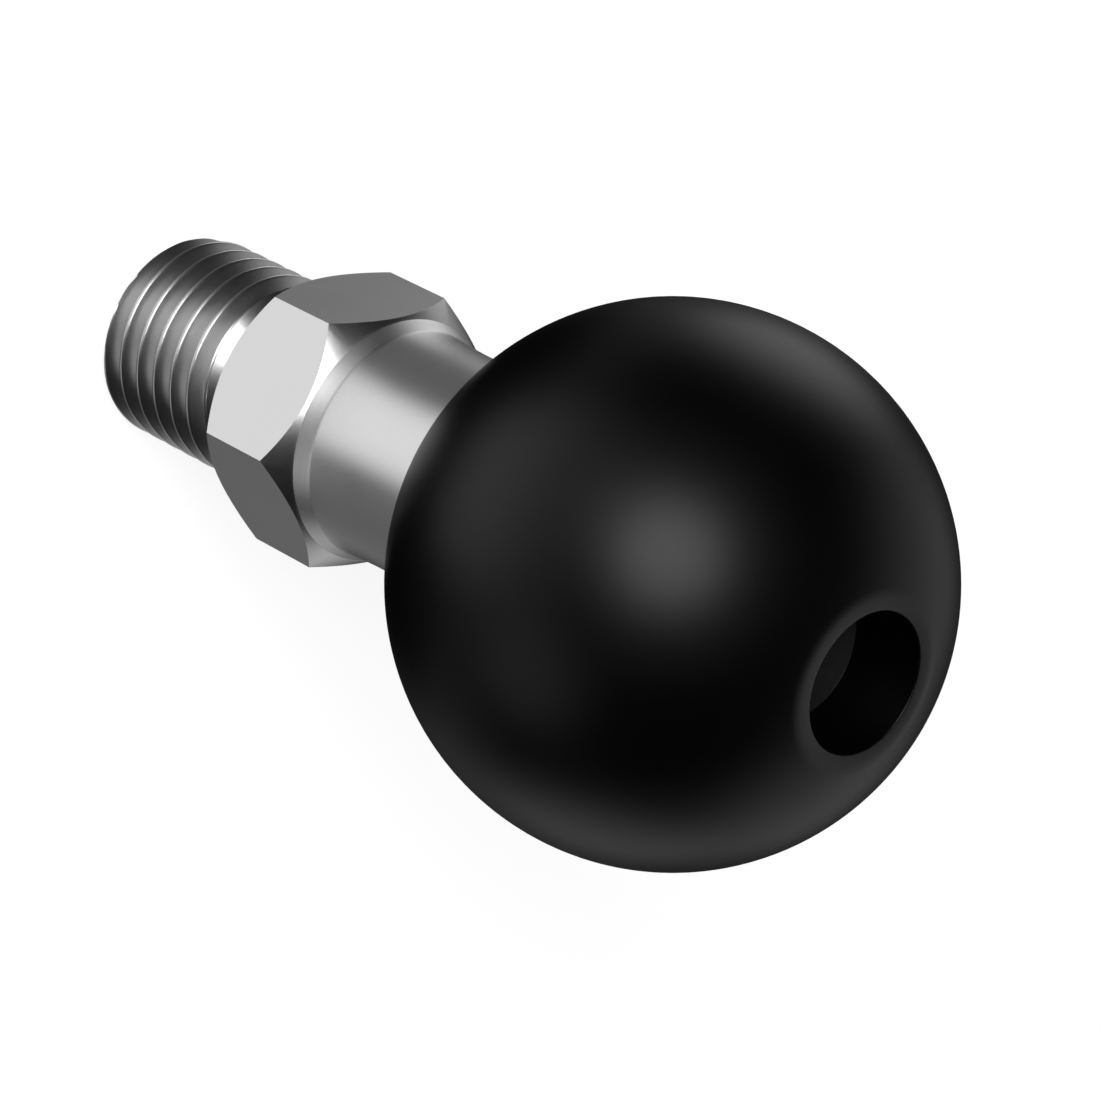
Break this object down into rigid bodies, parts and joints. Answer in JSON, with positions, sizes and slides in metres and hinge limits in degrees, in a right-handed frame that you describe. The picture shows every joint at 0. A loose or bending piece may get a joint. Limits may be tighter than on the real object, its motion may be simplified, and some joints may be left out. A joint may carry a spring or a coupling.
{
  "type": "threaded ball stud",
  "caption": "Short bright metal stud with a threaded end, a spanner hexagon and a plain neck, carrying a black ball with a blind recess in its top.",
  "frame": {"origin": "centre of the flat end of the thread, on which the stud stands", "axes": "+Z along the stud's axis from the thread to the ball; two of the hexagon's corners lie on the X axis"},
  "size_m": [0.025, 0.025, 0.0466],
  "materials": {
    "stud_steel": "satin, fine turned",
    "ball_rubber": "smooth satin black"
  },
  "bodies": {
    "root": {"stud": "stud_steel", "ball": "ball_rubber"}
  },
  "joints": []
}
